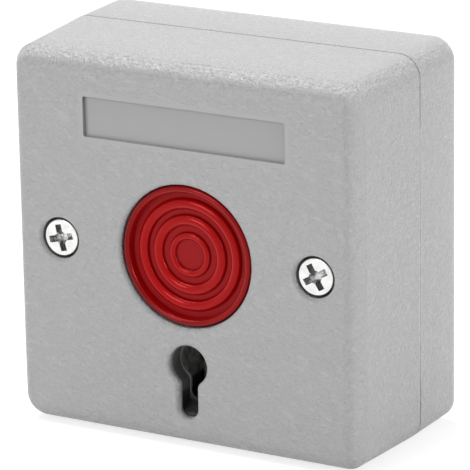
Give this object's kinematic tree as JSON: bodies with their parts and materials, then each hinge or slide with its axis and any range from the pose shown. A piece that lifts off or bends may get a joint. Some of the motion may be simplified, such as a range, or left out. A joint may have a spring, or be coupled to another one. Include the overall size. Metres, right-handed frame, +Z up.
{
  "type": "panic alarm",
  "caption": "Surface-mounted panic alarm: grey square housing, round ringed red push button that latches in, label recess above it and keyed release below it.",
  "frame": {"origin": "centre of the back face, which lies on the wall", "axes": "+Z up, the face with the button looks along -Y, the wall is on the +Y side"},
  "size_m": [0.086, 0.0415, 0.086],
  "materials": {
    "grey_plastic": "fine moulded leather grain",
    "red_plastic": "glossy moulded ridges, matt flats",
    "black_plastic": "satin",
    "white_plastic": "satin",
    "green_plastic": "satin",
    "nickel": "bright nickel plate",
    "zinc_steel": "zinc plate",
    "spring_steel": "drawn wire",
    "brass": "turned",
    "board_laminate": "solder resist"
  },
  "bodies": {
    "housing": {"front_cover": "grey_plastic", "back_box": "grey_plastic", "mechanism_carrier": "black_plastic", "latch_keeper": "black_plastic", "return_spring": "spring_steel", "latch_spring": "spring_steel", "contact_spring": "spring_steel", "cover_screw_left": "nickel", "cover_screw_right": "nickel", "insert_left": "brass", "insert_right": "brass", "carrier_screws": "zinc_steel", "keeper_screws": "zinc_steel", "board_screws": "zinc_steel", "terminal_screws": "zinc_steel", "switch_housing": "black_plastic", "switch_lid": "white_plastic", "fixed_contact_left": "brass", "fixed_contact_right": "brass", "circuit_board": "board_laminate", "terminal_block": "green_plastic", "terminal_clamps": "zinc_steel"},
    "button": {"button_cap": "red_plastic"},
    "latch": {"latch_slider": "white_plastic"},
    "plunger": {"switch_plunger": "white_plastic", "contact_bridge": "brass"}
  },
  "joints": [
    {"name": "button_press", "type": "slide", "parent": "housing", "child": "button", "axis": [0, 1, 0], "range_m": [0, 0.004], "stiffness_N_per_m": 900, "springref_m": -0.004, "deforming": ["return_spring"]},
    {"name": "latch_slide", "type": "slide", "parent": "housing", "child": "latch", "axis": [0, 0, -1], "range_m": [0, 0.002], "stiffness_N_per_m": 250, "springref_m": -0.003, "deforming": ["latch_spring"]},
    {"name": "plunger_slide", "type": "slide", "parent": "housing", "child": "plunger", "axis": [0, 1, 0], "range_m": [0, 0.004], "stiffness_N_per_m": 60, "springref_m": -0.004, "deforming": ["contact_spring"]}
  ],
  "couplings": [
    {"joint": "plunger_slide", "follows": "button_press", "ratio": 1}
  ]
}
